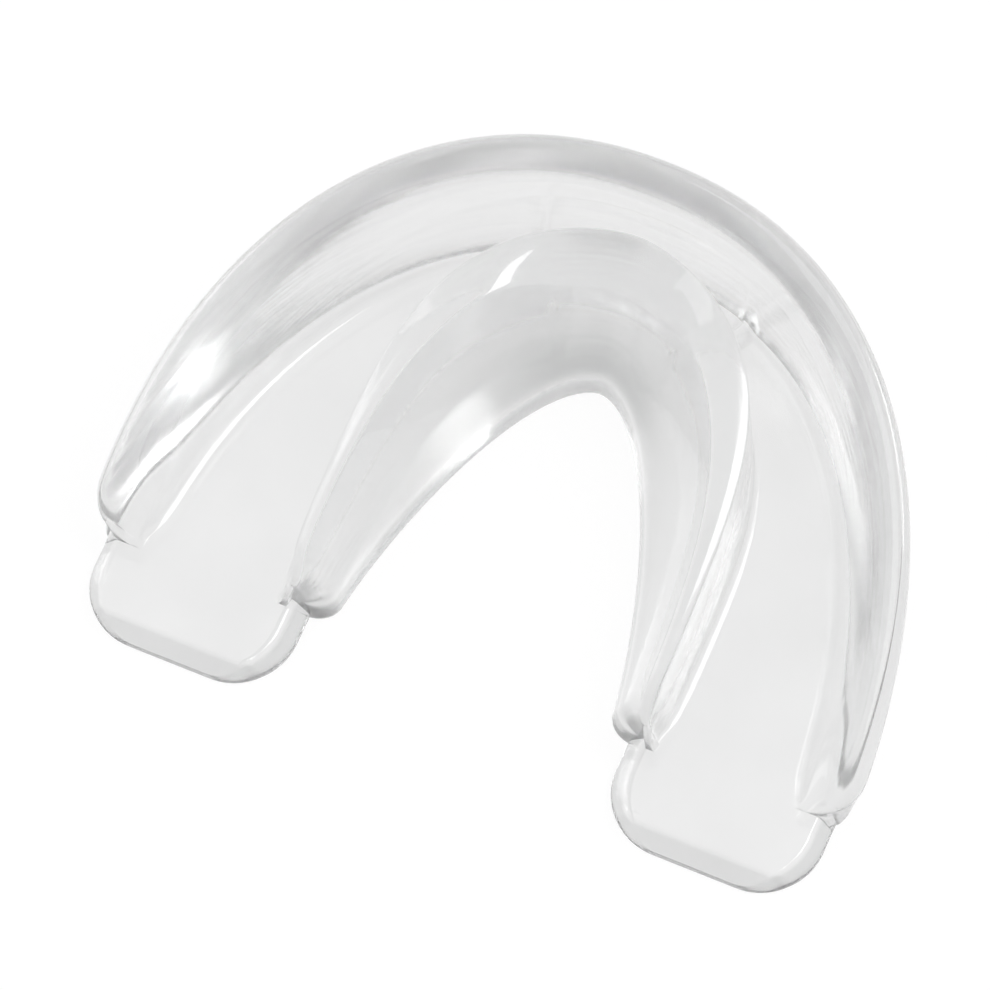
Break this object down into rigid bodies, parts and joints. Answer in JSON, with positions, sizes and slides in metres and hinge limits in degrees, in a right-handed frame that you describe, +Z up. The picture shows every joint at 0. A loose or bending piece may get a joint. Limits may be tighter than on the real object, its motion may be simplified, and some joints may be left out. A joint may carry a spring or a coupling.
{
  "type": "mouthguard",
  "caption": "Clear U-shaped mouthguard for one dental arch: a flat bite plate with rear tabs, a leaning outer wall and a lower inner wall that form a trough for the teeth.",
  "frame": {"origin": "under the middle of the guard, on the surface that the bite plate lies on", "axes": "+Z up out of the tooth trough, +Y towards the front teeth, +X towards the right-hand arm seen from behind"},
  "size_m": [0.063, 0.0463, 0.0182],
  "materials": {
    "clear_eva": "clear moulded EVA, glossy with a soft edge"
  },
  "bodies": {
    "root": {"bite_plate_left": "clear_eva", "bite_plate_front": "clear_eva", "bite_plate_right": "clear_eva", "outer_wall_left": "clear_eva", "outer_wall_front": "clear_eva", "outer_wall_right": "clear_eva", "inner_wall_left": "clear_eva", "inner_wall_front": "clear_eva", "inner_wall_right": "clear_eva", "incisor_pad": "clear_eva", "incisor_rib_left": "clear_eva", "incisor_rib_right": "clear_eva"}
  },
  "joints": []
}
